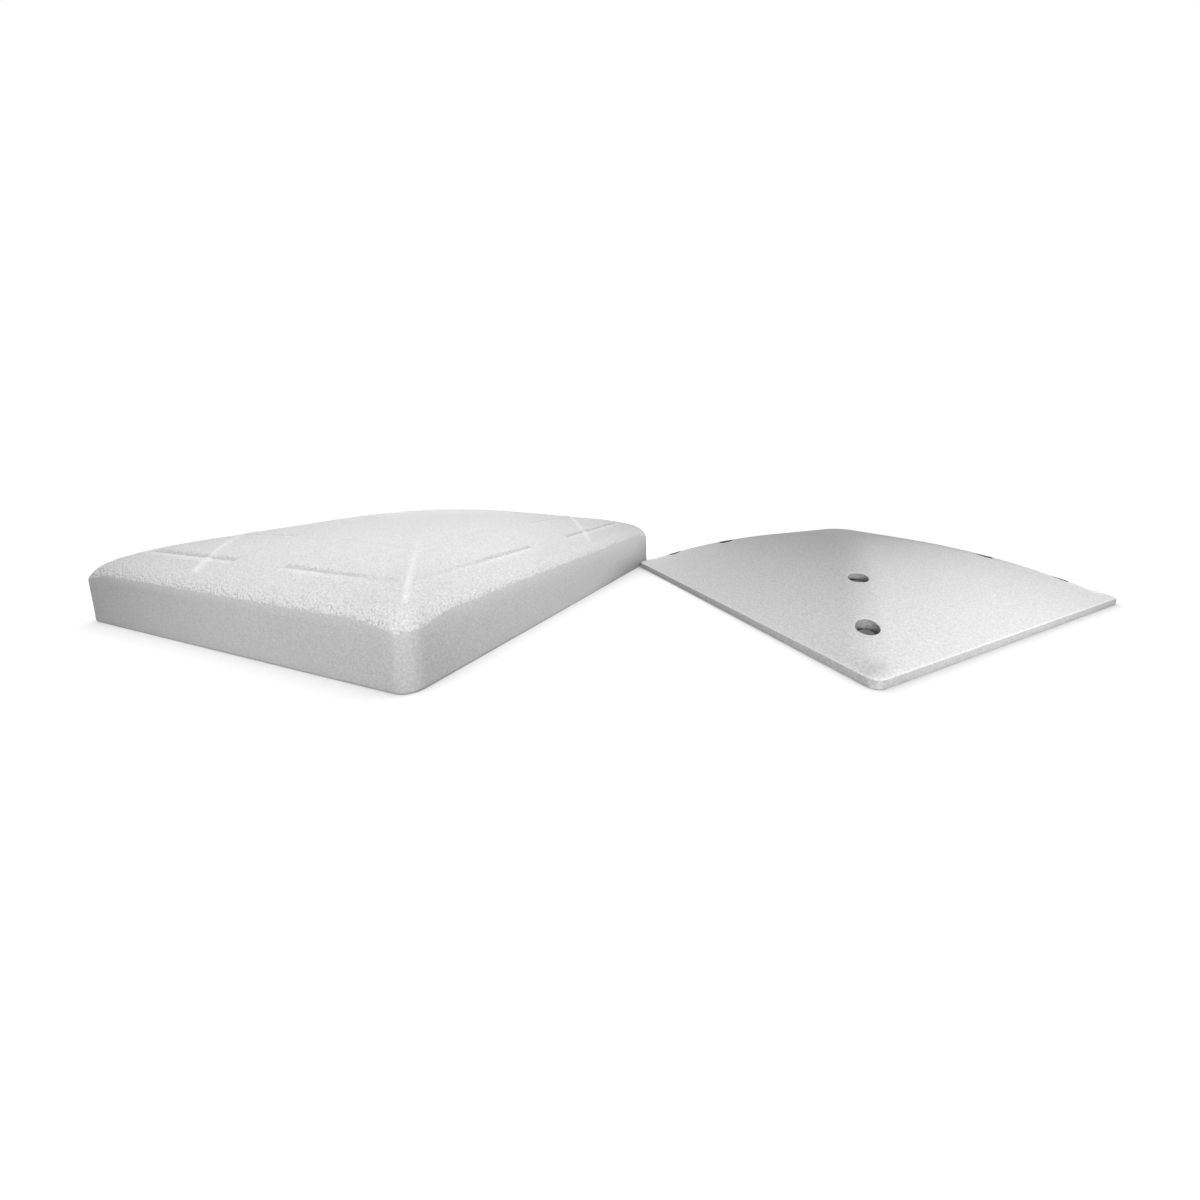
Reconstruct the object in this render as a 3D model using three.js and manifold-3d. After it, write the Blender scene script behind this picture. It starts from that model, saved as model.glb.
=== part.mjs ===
// Release base for a ball field: a soft domed cover, and the domed plate that stays in the ground.
// The two stand side by side, as when the cover has been pulled off. Millimetres, +Z up, floor at Z = 0.
// Both are stacks of rounded squares, so each height on a dome belongs to one square contour.

import * as THREE from 'three';
import { mergeVertices } from 'three/addons/utils/BufferGeometryUtils.js';
import Module from 'manifold-3d';

const wasm = await Module();
wasm.setup();

// Gap kept between pieces that touch
const seatGap = 0.3;

// Cover, outside
const coverSide = 381;
const coverCorner = 12;
const coverWallHeight = 32;
const coverEdgeRadius = 22;
const coverCrown = 82;
const coverBulge = 2.2;

// Cover, inside
const skirtWall = 8.5;
const skinThickness = 8;
const skirtClearance = 1.5;
const carrierThickness = 4;
const carrierClearance = 1;

// Tread grooves in the cover's top: two broken squares
const treadOuter = 157;
const treadInner = 112;
const treadBreak = 31;
const treadCornerStop = 9;
const treadWidth = 4;
const treadDepth = 1.2;

// Ground plate, whose side follows from the cover's hollow
const plateSide = coverSide - 2 * (skirtWall + skirtClearance);
const plateCorner = 8;
const plateEdge = 6.2;
const plateCrown = 58;
const plateBulge = 2;
const plateThickness = 5.5;
const plateFoot = 6;
const ridgeRadius = 20;

// Plugs and their holes, two on each diagonal, as distances from both centre lines
const plugInner = 97;
const plugOuter = 144;
const holeDiameter = 16;
const plugClearance = 0.5;
const plugSnap = 1.2;
const plugHeadRadius = 13;
const plugHeadThickness = 3.5;
const plugBulbHeight = 9;
const bossMargin = 2.5;
const seatMargin = 0.4;

// Anchor socket under the plate's crown
const postSide = 25.4;
const postClearance = 0.3;
const socketWall = 5;
const socketLift = 3;
const flangeSide = 74;
const flangeThickness = 4;
const padMargin = 3;
const padThickness = 14;
const anchorSpread = 27;
const boltDiameter = 6;
const boltHeadAcross = 10;
const boltHeadHeight = 4;
const insertWall = 1.5;
const insertLength = 9;
const insertRoof = 0.6;

// Where the two stand: turn of each about Z, the gap from the plate's corner to the cover's side,
// and how far along that side the plate's centre lies from the cover's
const coverTurn = THREE.MathUtils.degToRad(70.6);
const plateTurn = THREE.MathUtils.degToRad(27.2);
const standGap = 2;
const plateSlide = 163.5;

// Facets
const cornerSteps = 6;
const edgeSteps = 6;
const domeSteps = 12;
const roundSides = 28;
const plugSides = 24;

const rubberWhite = material(0xe6e6e4, 0.75, 0);
const foamGrey = material(0x9b9c98, 0.95, 0);
const carrierPlastic = material(0xc4c6c6, 0.6, 0);
const plugRubber = material(0x3f4143, 0.8, 0);
const platePlastic = material(0xdcdcda, 0.55, 0);
const zincSteel = material(0xb4b7ba, 0.4, 1);
const insertBrass = material(0xb08d4a, 0.35, 1);

function material(color, roughness, metalness) {
  return new THREE.MeshStandardMaterial({ color, roughness, metalness });
}

// Closed solid from an indexed or loose geometry: merged corners, no slivers left at the poles
function solid(geometry) {
  const bare = geometry.clone();
  bare.deleteAttribute('normal');
  bare.deleteAttribute('uv');
  const merged = mergeVertices(bare, 1e-4);
  const corners = merged.index.array;
  const kept = [];
  for (let i = 0; i < corners.length; i += 3) {
    const [a, b, c] = corners.slice(i, i + 3);
    if (a !== b && b !== c && c !== a) kept.push(a, b, c);
  }
  return new wasm.Manifold(new wasm.Mesh({
    numProp: 3,
    vertProperties: new Float32Array(merged.attributes.position.array),
    triVerts: new Uint32Array(kept),
  }));
}

function cut(body, tools) {
  return tools.reduce((left, tool) => left.subtract(tool), body);
}

function join(body, extras) {
  return extras.reduce((whole, extra) => whole.add(extra), body);
}

function node(name, body, finish) {
  const { vertProperties, triVerts } = body.getMesh();
  const geometry = new THREE.BufferGeometry();
  geometry.setAttribute('position', new THREE.BufferAttribute(new Float32Array(vertProperties), 3));
  geometry.setIndex(new THREE.BufferAttribute(new Uint32Array(triVerts), 1));
  geometry.computeVertexNormals();
  const mesh = new THREE.Mesh(geometry, finish);
  mesh.name = name;
  return mesh;
}

// Basic solids
function box(sizeX, sizeY, lowZ, highZ, x = 0, y = 0) {
  const geometry = new THREE.BoxGeometry(sizeX, sizeY, highZ - lowZ);
  return solid(geometry.translate(x, y, (lowZ + highZ) / 2));
}

function cylinder(radius, lowZ, highZ, x = 0, y = 0, sides = roundSides) {
  const geometry = new THREE.CylinderGeometry(radius, radius, highZ - lowZ, sides);
  return solid(geometry.rotateX(Math.PI / 2).translate(x, y, (lowZ + highZ) / 2));
}

// Profile points are [radius, height], from the axis at the foot to the axis at the top
function turned(profile, x, y, sides) {
  const points = profile.map(([radius, height]) => new THREE.Vector2(radius, height));
  const geometry = new THREE.LatheGeometry(points, sides);
  return solid(geometry.rotateX(Math.PI / 2).translate(x, y, 0));
}

// One rounded square, counter-clockwise, with the same number of points whatever its size
function roundedSquare(half, radius) {
  const points = [];
  for (let corner = 0; corner < 4; corner += 1) {
    for (let step = 0; step <= cornerSteps; step += 1) {
      const turn = (corner + step / cornerSteps) * Math.PI / 2;
      const quarter = (corner + 0.5) * Math.PI / 2;
      const reach = (half - radius) * Math.SQRT2;
      points.push([
        reach * Math.cos(quarter) + radius * Math.cos(turn),
        reach * Math.sin(quarter) + radius * Math.sin(turn),
      ]);
    }
  }
  return points;
}

// Solid of stacked rounded squares: rings of { half, radius, height } from the foot up, then the apex
function squareStack(rings, apexHeight) {
  const loops = rings.map(({ half, radius, height }) => (
    roundedSquare(half, radius).map(([x, y]) => [x, y, height])
  ));
  const count = loops[0].length;
  const footCentre = count * loops.length;
  const apex = footCentre + 1;
  const positions = [...loops.flat(), [0, 0, rings[0].height], [0, 0, apexHeight]];
  const index = [];
  for (let j = 0; j < count; j += 1) {
    const next = (j + 1) % count;
    index.push(footCentre, next, j);
    for (let i = 0; i + 1 < loops.length; i += 1) {
      const low = i * count;
      const high = low + count;
      index.push(low + j, low + next, high + next, low + j, high + next, high + j);
    }
    const last = (loops.length - 1) * count;
    index.push(last + j, last + next, apex);
  }
  const geometry = new THREE.BufferGeometry();
  geometry.setAttribute('position', new THREE.BufferAttribute(new Float32Array(positions.flat()), 3));
  geometry.setIndex(index);
  return solid(geometry);
}

// Height of a dome above a square contour: the rim's height at the rim, the crown's at the centre
function domeHeight(dome, half) {
  return dome.rim + (dome.crown - dome.rim) * (1 - (half / dome.half) ** dome.bulge);
}

// Dome with a square rim, standing on a plain wall down to the foot
function domeSolid(dome, foot) {
  const rings = [
    { half: dome.half, radius: dome.corner, height: foot },
    { half: dome.half, radius: dome.corner, height: dome.rim },
  ];
  for (let step = 1; step < domeSteps; step += 1) {
    const half = dome.half * (1 - step / domeSteps);
    const radius = Math.min(dome.ridge, 0.9 * half);
    rings.push({ half, radius, height: domeHeight(dome, half) });
  }
  return squareStack(rings, dome.crown);
}

// Dome that meets its side wall in a rolled edge: the arc ends where it runs into the dome's slope
function rolledDome(half, corner, wallHeight, edgeRadius, crown, bulge) {
  let sweep = Math.PI / 3;
  let dome;
  for (let pass = 0; pass < 40; pass += 1) {
    const rimHalf = half - edgeRadius * (1 - Math.cos(sweep));
    const rim = wallHeight + edgeRadius * Math.sin(sweep);
    dome = { half: rimHalf, rim, crown, bulge };
    sweep = Math.atan2(rimHalf, bulge * (crown - rim));
  }
  return { ...dome, wallHalf: half, corner, wallHeight, edgeRadius, sweep };
}

function rolledDomeSolid(shape, foot) {
  const scaled = (half) => shape.corner * half / shape.wallHalf;
  const rings = [{ half: shape.wallHalf, radius: shape.corner, height: foot }];
  for (let step = 0; step <= edgeSteps; step += 1) {
    const turn = shape.sweep * step / edgeSteps;
    const half = shape.wallHalf - shape.edgeRadius * (1 - Math.cos(turn));
    rings.push({ half, radius: scaled(half), height: shape.wallHeight + shape.edgeRadius * Math.sin(turn) });
  }
  for (let step = 1; step < domeSteps; step += 1) {
    const half = shape.half * (1 - step / domeSteps);
    rings.push({ half, radius: scaled(half), height: domeHeight(shape, half) });
  }
  return squareStack(rings, shape.crown);
}

// The four places at one distance along the diagonals
function onDiagonals(distance) {
  return [[1, 1], [-1, 1], [-1, -1], [1, -1]].map(([x, y]) => [x * distance, y * distance]);
}

// Shapes that the pieces share
const hollowHalf = coverSide / 2 - skirtWall;
const belowFloor = -5;
const coverOutside = rolledDome(
  coverSide / 2, coverCorner, coverWallHeight, coverEdgeRadius, coverCrown, coverBulge,
);
const skinInside = rolledDome(
  hollowHalf, coverCorner - skirtWall / 2, coverWallHeight,
  coverEdgeRadius - skirtWall, coverCrown - skinThickness, coverBulge,
);
const foamOutside = rolledDome(
  hollowHalf - seatGap, coverCorner - skirtWall / 2, coverWallHeight,
  coverEdgeRadius - skirtWall - seatGap, coverCrown - skinThickness - seatGap, coverBulge,
);
const plateTop = {
  half: plateSide / 2, corner: plateCorner, ridge: ridgeRadius,
  rim: plateEdge, crown: plateCrown, bulge: plateBulge,
};
const plateUnder = {
  ...plateTop,
  half: plateTop.half - plateFoot, corner: Math.max(plateCorner - plateFoot, 1),
  rim: 0, crown: plateCrown - plateThickness,
};
const carrierUnder = {
  ...plateTop,
  half: hollowHalf - seatGap, corner: coverCorner - skirtWall / 2,
  rim: plateEdge + carrierClearance, crown: plateCrown + carrierClearance,
};
const carrierTop = {
  ...carrierUnder, rim: carrierUnder.rim + carrierThickness, crown: carrierUnder.crown + carrierThickness,
};
const foamUnder = { ...carrierTop, rim: carrierTop.rim + seatGap, crown: carrierTop.crown + seatGap };

// Plug sizes: the stem runs through the plate's hole, the bulb snaps out below the plate
const plugPlaces = [...onDiagonals(plugInner), ...onDiagonals(plugOuter)];
const stemRadius = holeDiameter / 2 - plugClearance;
const bulbRadius = holeDiameter / 2 + plugSnap;
const bossRadius = plugHeadRadius + bossMargin;
const seatRise = seatMargin + Math.max(...[plugInner, plugOuter].map((distance) => (
  domeHeight(carrierTop, distance - bossRadius) - domeHeight(carrierUnder, distance)
)));
const plateDrop = Math.max(...[plugInner, plugOuter].map((distance) => (
  domeHeight(plateTop, distance) - domeHeight(plateTop, distance + bulbRadius)
)));
const stemLength = seatRise + carrierClearance + plateThickness + plateDrop + plugClearance;

function plugSeat([x]) {
  return domeHeight(carrierUnder, Math.abs(x)) + seatRise;
}

// Cover shell: skin and skirt in one, open below, with the tread cut along the dome's contours
function treadGrooves(distance) {
  const stop = distance - treadCornerStop;
  const floor = domeHeight(coverOutside, distance) - treadDepth;
  const middle = (treadBreak + stop) / 2;
  const length = stop - treadBreak;
  return [1, -1].flatMap((side) => [1, -1].flatMap((end) => [
    box(length, treadWidth, floor, coverCrown, end * middle, side * distance),
    box(treadWidth, length, floor, coverCrown, side * distance, end * middle),
  ]));
}

function coverShell() {
  const block = rolledDomeSolid(coverOutside, 0);
  const grooves = [...treadGrooves(treadOuter), ...treadGrooves(treadInner)];
  return cut(block, [rolledDomeSolid(skinInside, belowFloor), ...grooves]);
}

function impactFoam() {
  const pockets = plugPlaces.map(([x, y]) => cylinder(
    bossRadius + seatGap, 0, plugSeat([x]) + 2 * seatGap + plugHeadThickness, x, y,
  ));
  return cut(rolledDomeSolid(foamOutside, 0), [domeSolid(foamUnder, belowFloor), ...pockets]);
}

function plugCarrier() {
  const bosses = plugPlaces.map(([x, y]) => cylinder(bossRadius, 0, plugSeat([x]), x, y));
  const bores = plugPlaces.map(([x, y]) => cylinder(stemRadius + seatGap, belowFloor, coverCrown, x, y));
  return cut(join(domeSolid(carrierTop, 0), bosses), [domeSolid(carrierUnder, belowFloor), ...bores]);
}

// Snap plug: head above its boss, stem, then a bulb with a lead-in cone at the tip
function releasePlug([x, y]) {
  const head = plugSeat([x]) + seatGap;
  const shoulder = head - seatGap - stemLength;
  const tip = shoulder - plugBulbHeight;
  const flank = bulbRadius - stemRadius;
  const crownEase = plugHeadThickness / 3;
  return turned([
    [0, tip],
    [bulbRadius / 2, tip],
    [bulbRadius, shoulder - 2 * flank],
    [bulbRadius, shoulder - flank],
    [stemRadius, shoulder],
    [stemRadius, head],
    [plugHeadRadius, head],
    [plugHeadRadius, head + plugHeadThickness - crownEase],
    [plugHeadRadius - crownEase, head + plugHeadThickness],
    [0, head + plugHeadThickness],
  ], x, y, plugSides);
}

// Ground plate: domed sheet on a narrow flat foot, thicker in the middle for the anchor
const padFloor = plateCrown - padThickness;
const anchorPlaces = onDiagonals(anchorSpread);
const insertRadius = boltDiameter / 2 + seatGap + insertWall;

function groundPlate() {
  const padSide = flangeSide + 2 * padMargin;
  const hollow = domeSolid(plateUnder, belowFloor).subtract(box(padSide, padSide, padFloor, coverCrown));
  const foot = box(plateSide, plateSide, belowFloor, 0);
  const holes = plugPlaces.map(([x, y]) => cylinder(holeDiameter / 2, belowFloor, coverCrown, x, y));
  const insertHoles = anchorPlaces.map(([x, y]) => cylinder(
    insertRadius + seatGap, belowFloor, padFloor + insertLength + insertRoof, x, y,
  ));
  return cut(domeSolid(plateTop, belowFloor), [foot, hollow, ...holes, ...insertHoles]);
}

// Socket: flange against the pad, square tube below it that takes the ground post
function anchorSocket() {
  const flangeTop = padFloor - seatGap;
  const flangeFloor = flangeTop - flangeThickness;
  const bore = postSide + 2 * postClearance;
  const tubeSide = bore + 2 * socketWall;
  const tube = box(tubeSide, tubeSide, socketLift, flangeTop);
  const flange = box(flangeSide, flangeSide, flangeFloor, flangeTop);
  const boltHoles = anchorPlaces.map(([x, y]) => cylinder(
    boltDiameter / 2 + seatGap, 0, plateCrown, x, y,
  ));
  return cut(join(tube, [flange]), [box(bore, bore, 0, flangeFloor), ...boltHoles]);
}

function threadedInsert([x, y]) {
  const sleeve = cylinder(insertRadius, padFloor, padFloor + insertLength, x, y);
  return sleeve.subtract(cylinder(boltDiameter / 2 + seatGap, 0, plateCrown, x, y));
}

function anchorBolt([x, y]) {
  const seat = padFloor - 2 * seatGap - flangeThickness;
  const head = cylinder(boltHeadAcross / Math.sqrt(3), seat - boltHeadHeight, seat, x, y, 6);
  return head.add(cylinder(boltDiameter / 2, seat - boltHeadHeight / 2, padFloor + insertLength - 1, x, y));
}

function coverGroup() {
  const group = new THREE.Group();
  group.add(node('cover_shell', coverShell(), rubberWhite));
  group.add(node('impact_foam', impactFoam(), foamGrey));
  group.add(node('plug_carrier', plugCarrier(), carrierPlastic));
  plugPlaces.forEach((place, i) => {
    const row = i < 4 ? 'inner' : 'outer';
    group.add(node(`release_plug_${row}_${i % 4 + 1}`, releasePlug(place), plugRubber));
  });
  return group;
}

function plateGroup() {
  const group = new THREE.Group();
  group.add(node('ground_plate', groundPlate(), platePlastic));
  group.add(node('anchor_socket', anchorSocket(), zincSteel));
  anchorPlaces.forEach((place, i) => {
    group.add(node(`anchor_bolt_${i + 1}`, anchorBolt(place), zincSteel));
    group.add(node(`threaded_insert_${i + 1}`, threadedInsert(place), insertBrass));
  });
  return group;
}

// Half the width and depth that a turned rounded square takes up
function reach(side, corner, turn) {
  return (side / 2 - corner) * (Math.abs(Math.cos(turn)) + Math.abs(Math.sin(turn))) + corner;
}

// The plate's centre, seen from the cover's
const standOff = coverSide / 2 + standGap + reach(plateSide, plateCorner, coverTurn - plateTurn);
const plateStepX = standOff * Math.sin(coverTurn) + plateSlide * Math.cos(coverTurn);
const plateStepY = plateSlide * Math.sin(coverTurn) - standOff * Math.cos(coverTurn);

// The origin is on the floor, in the middle of the box round both
const coverReach = reach(coverSide, coverCorner, coverTurn);
const plateReach = reach(plateSide, plateCorner, plateTurn);
const lowX = Math.min(-coverReach, plateStepX - plateReach);
const highX = Math.max(coverReach, plateStepX + plateReach);
const lowY = Math.min(-coverReach, plateStepY - plateReach);
const highY = Math.max(coverReach, plateStepY + plateReach);
const middleX = (lowX + highX) / 2;
const middleY = (lowY + highY) / 2;

const cover = coverGroup();
cover.position.set(-middleX, -middleY, 0);
cover.rotation.z = coverTurn;

const plate = plateGroup();
plate.position.set(plateStepX - middleX, plateStepY - middleY, 0);
plate.rotation.z = plateTurn;

const base = new THREE.Group();
base.add(cover, plate);

export default base;
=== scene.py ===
"""Release base for a ball field, taken apart: a soft domed cover beside the domed plate it snaps onto.

Both pieces are square domes. Shapes are worked out in millimetres in a piece's own square frame, with the
middle of the piece at the origin and the floor at z = 0, and are then turned and moved to the place that
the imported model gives. Meshes are in metres.
"""

import math

import bpy
import numpy as np
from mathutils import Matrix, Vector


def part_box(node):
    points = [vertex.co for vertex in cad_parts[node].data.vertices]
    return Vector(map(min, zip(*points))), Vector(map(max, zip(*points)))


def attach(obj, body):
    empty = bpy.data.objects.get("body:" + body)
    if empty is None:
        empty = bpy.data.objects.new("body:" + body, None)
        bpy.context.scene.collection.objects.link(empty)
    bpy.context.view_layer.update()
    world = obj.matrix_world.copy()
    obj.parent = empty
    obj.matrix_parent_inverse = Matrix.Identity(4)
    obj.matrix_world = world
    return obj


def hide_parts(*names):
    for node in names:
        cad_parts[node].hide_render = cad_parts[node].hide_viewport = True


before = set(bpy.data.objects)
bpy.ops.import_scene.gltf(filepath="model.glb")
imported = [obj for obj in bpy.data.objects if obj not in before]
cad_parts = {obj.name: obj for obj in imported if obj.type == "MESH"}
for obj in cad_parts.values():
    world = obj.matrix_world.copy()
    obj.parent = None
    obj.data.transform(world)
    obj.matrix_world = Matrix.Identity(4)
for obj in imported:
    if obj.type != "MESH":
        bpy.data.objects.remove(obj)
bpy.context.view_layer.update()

MM = 0.001

# Where the two pieces stand
COVER_TURN = math.radians(70.6)
PLATE_TURN = math.radians(27.2)

# Cover, outside: plain wall, rolled edge, dome
COVER_HALF = 190.5
COVER_CORNER = 12.0
WALL_HEIGHT = 32.0
EDGE_RADIUS = 22.0
COVER_CROWN = 82.0
COVER_BULGE = 2.6

# Cover, inside
SKIRT_WALL = 8.5
SKIRT_BEVEL = 0.5
SKIRT_BEVEL_HEIGHT = 1.0
SKIN_THICKNESS = 8.0

# The pebbled top skin ends in a low lip above the smooth wall, lower at the corners than along the sides
LIP_SIDE_HEIGHT = 43.0
LIP_CORNER_DROP = 5.0
# Waves of the lip's line: height, waves round the cover, start
LIP_WAVES = ((0.2, 47, 0.4), (0.15, 131, 1.1), (0.1, 223, 0.0))
# How the lip turns under: drop, and how far in
LIP_ROWS = ((0.3, 0.05), (0.6, 0.2), (0.9, 0.2))
WALL_INSET = 0.2
FOOT_ROUND = 1.6

# Steps of the cover's grid: lines from its middle to the rim, and rows down the rolled edge and the wall
COVER_LINES = 116
EDGE_ROWS = 11
WALL_ROWS = 6

# Tread on the cover's top, as distances from its centre lines
TREAD_OUTER = 157.0
TREAD_INNER = 112.0
TREAD_BREAK = 31.0
TREAD_FURROW = 66.0
TREAD_CROSS = 224.0

# Depth or height of the tread's lines, and how far each one reaches to either side
OUTER_GROOVE = (1.2, 3.8)
OUTER_LIP = (0.7, 3.6)
OUTER_LIP_AWAY = 5.4
INNER_GROOVE = (0.6, 3.2)
INNER_LIP = (0.3, 3.2)
INNER_LIP_AWAY = 4.2
BREAK_FURROW = (0.3, 2.0)
SIDE_FURROW = (0.25, 2.0)
DIAGONAL_SEAM = (0.9, 3.6)
CROSS_SEAM = (1.2, 5.0)
EDGE_SEAM = (0.7, 3.2)

# Between which distances from the centre lines the seams rise, and the outer grooves fade where they are worn
DIAGONAL_RISE = (60, 150)
CROSS_RISE = (110, 125)
WORN_FADE = (70, 135)

# What wear leaves of the lines at the two worn corners: of the inner lines and the seams across, and of the
# outer grooves at their far end and close to the corner
WORN_INNER = 0.4
WORN_OUTER_FAR = 0.85
WORN_OUTER_NEAR = 0.3

# Grain added along the edge, and painted shade between the pebbles: all over, in the grooves and along the
# lip
EDGE_GRAIN = 0.3
PEBBLE_GAP_SHADE = 0.06
GROOVE_SHADE = 0.3
LIP_SHADE = 0.25

# Ground plate
PLATE_HALF = 180.5
PLATE_CORNER = 8.0
PLATE_EDGE = 6.2
PLATE_CROWN = 58.0
PLATE_BULGE = 2.0
PLATE_THICKNESS = 5.5
PLATE_FOOT = 6.0
PLATE_TOP_CHAMFER = 0.25
PLATE_FOOT_CHAMFER = 0.3
EDGE_SHADE = 0.66
RIDGE_RADIUS = 20.0
PAD_HALF = 40.0
PAD_FLOOR = 44.0
INSERT_SPREAD = 27.0
INSERT_BORE = 5.1
INSERT_BORE_TOP = 53.6
INSERT_BLOCK = 8.0
HOLE_RADIUS = 8.0
HOLE_ROUND = 0.7
HOLE_BLOCK = 13.0
PLUG_INNER = 97.0
PLUG_OUTER = 144.0

# Liner under the foam, and the plugs that stand in it
SEAT_GAP = 0.3
CARRIER_HALF = 181.7
CARRIER_EDGE = 7.2
CARRIER_CROWN = 59.0
CARRIER_EDGE_TOP = 11.2
CARRIER_CROWN_TOP = 63.0
CARRIER_BORE = 7.8
BOSS_RADIUS = 15.5
BOSS_CHAMFER = 0.6
BORE_CHAMFER = 0.5
POCKET_BLOCK = 18.0
PLUG_HEAD = 3.5
PLUG_TOPS = {PLUG_INNER: 59.06, PLUG_OUTER: 41.29}

# Camera: a wide lens held low and close, in pixels of a 1200 by 1200 frame
FRAME_PIXELS = 1200
FOCAL_PIXELS = 420.0
CENTRE_PIXEL = (667.1, 533.9)
CAMERA_PLACE = (31.5, -475.1, 135.8)
CAMERA_PITCH = 9.33
SENSOR_WIDTH = 36.0

# Light: strength of the surround on the pieces and of the floor's own white, and the lamps. Each lamp has its
# place, the point that it faces, its width and height in metres, its watts and the angle of its beam
SURROUND_STRENGTH = 0.26
FLOOR_WHITE = 0.94
COVER_MIDDLE = (-0.28, 0.0, 0.05)
COVER_FRONT = (-0.25, 0.0, 0.05)
PLATE_MIDDLE = (0.26, -0.04, 0.03)
LAMPS = {
    "over_cover": ((-0.28, 0.0, 0.85), COVER_MIDDLE, 0.6, 0.6, 0.68, 30.0),
    "before_cover": ((-0.22, -0.90, 0.20), COVER_FRONT, 0.4, 0.15, 0.19, 36.0),
    "beside_cover": ((0.32, -0.60, 0.36), COVER_MIDDLE, 0.3, 0.3, 0.19, 34.0),
    "behind_cover": ((-0.75, 1.00, 0.11), COVER_MIDDLE, 0.4, 0.12, 0.32, 40.0),
    "left_of_plate": ((-0.29, -0.99, 0.145), PLATE_MIDDLE, 0.3, 0.12, 0.17, 30.0),
    "before_plate": ((0.26, -1.14, 0.107), PLATE_MIDDLE, 0.3, 0.12, 0.27, 30.0),
    "right_of_plate": ((1.15, -0.67, 0.183), PLATE_MIDDLE, 0.3, 0.12, 0.2, 30.0),
    "behind_plate": ((1.24, 0.46, 0.11), PLATE_MIDDLE, 0.4, 0.12, 0.2, 40.0),
    "back_left_of_plate": ((-0.14, 1.00, 0.09), PLATE_MIDDLE, 0.4, 0.08, 0.18, 26.0),
}


# Numbers

def smooth(low, high, x):
    """0 below low, 1 above high, and an S-shaped step between."""
    t = np.clip((x - low) / (high - low), 0, 1)
    return t * t * (3 - 2 * t)


def bell(distance, reach):
    """1 at no distance, 0 from reach on, as one hump of a cosine."""
    t = np.clip(np.abs(distance) / reach, 0, 1)
    return 0.5 + 0.5 * np.cos(np.pi * t)


def linear(code):
    """Linear colour of an sRGB hex code, with alpha 1."""
    parts = [int(code[i:i + 2], 16) / 255 for i in (1, 3, 5)]
    return tuple(c / 12.92 if c <= 0.04045 else ((c + 0.055) / 1.055) ** 2.4 for c in parts) + (1.0,)


# Square shapes

def round_off(u, v, half, radius):
    """Point of a rounded square that belongs to the point (u, v) of a plain one.

    Each half side is shared out by length: first its straight run, then an eighth of a circle.
    """
    longer = np.maximum(np.abs(u), np.abs(v))
    share = np.minimum(np.abs(u), np.abs(v)) / np.maximum(longer, 1e-9)
    run, arc = half - radius, radius * np.pi / 4
    reach = share * np.maximum(run + arc, 1e-9)
    bend = np.clip((reach - run) / np.maximum(arc, 1e-9), 0, 1) * np.pi / 4
    far = run + radius * np.cos(bend)
    along = np.minimum(reach, run) + radius * np.sin(bend)
    wide = np.abs(u) >= np.abs(v)
    x = np.where(wide, far, along) * np.sign(u)
    y = np.where(wide, along, far) * np.sign(v)
    return x, y


def square_lines(stations):
    """Grid lines from stations of (end, steps) counted outwards from the middle, mirrored."""
    lines = [np.zeros(1)]
    start = 0.0
    for end, steps in stations:
        lines.append(np.linspace(start, end, steps + 1)[1:])
        start = end
    half = np.concatenate(lines)
    return np.concatenate([-half[:0:-1], half])


class Surface:
    """Points and faces gathered for one closed piece."""

    def __init__(self):
        self.points = np.zeros((0, 3))
        self.faces = []

    def put(self, x, y, z):
        """Adds points and gives their indices."""
        rows = np.stack(np.broadcast_arrays(x, y, z), axis=-1).astype(float).reshape(-1, 3)
        start = len(self.points)
        self.points = np.concatenate([self.points, rows])
        return np.arange(start, len(self.points))

    def sheet(self, index, skip=None, flip=False):
        """Faces of a grid of indices whose rows run along y, facing up; skip marks cells left out."""
        quads = np.stack([index[:-1, :-1], index[:-1, 1:], index[1:, 1:], index[1:, :-1]], axis=-1)
        quads = quads.reshape(-1, 4) if skip is None else quads[~skip]
        self.faces.append(quads[:, ::-1] if flip else quads)

    def strip(self, rings, flip=False):
        """Faces between rings of equal length; counter-clockwise rings that close in face up."""
        low, high = np.stack(rings[:-1]), np.stack(rings[1:])
        quads = np.stack([low, np.roll(low, -1, 1), np.roll(high, -1, 1), high], axis=-1).reshape(-1, 4)
        self.faces.append(quads[:, ::-1] if flip else quads)

    def cap(self, ring, tip, flip=False):
        """Fan of faces from a ring to its tip."""
        fan = np.stack([ring, np.roll(ring, -1), np.full(len(ring), tip[0])], axis=-1)
        self.faces.append(fan[:, ::-1] if flip else fan)


def edge_loop(index):
    """Indices round the edge of a grid, counter-clockwise from its first corner."""
    return np.concatenate([index[0, :-1], index[:-1, -1], index[-1, :0:-1], index[:0:-1, 0]])


def dome(distance, half, rim, crown, bulge):
    """Height over a square contour: the rim's at its half side, the crown's in the middle."""
    return rim + (crown - rim) * (1 - np.clip(distance / half, 0, 1) ** bulge)


def rolled_edge(half, wall_height, radius, crown, bulge):
    """How far the rolled edge sweeps, and the dome's half side and height where the edge runs into it.

    The sweep is found by going round: it ends where the arc is as steep as the dome.
    """
    sweep = math.pi / 3
    for _ in range(40):
        rim_half = half - radius * (1 - math.cos(sweep))
        rim = wall_height + radius * math.sin(sweep)
        sweep = math.atan2(rim_half, bulge * (crown - rim))
    return sweep, rim_half, rim


# Pieces

def place_of(node):
    """Middle of a node in plan, in millimetres."""
    low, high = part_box(node)
    return (low.x + high.x) / 2 / MM, (low.y + high.y) / 2 / MM


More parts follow.
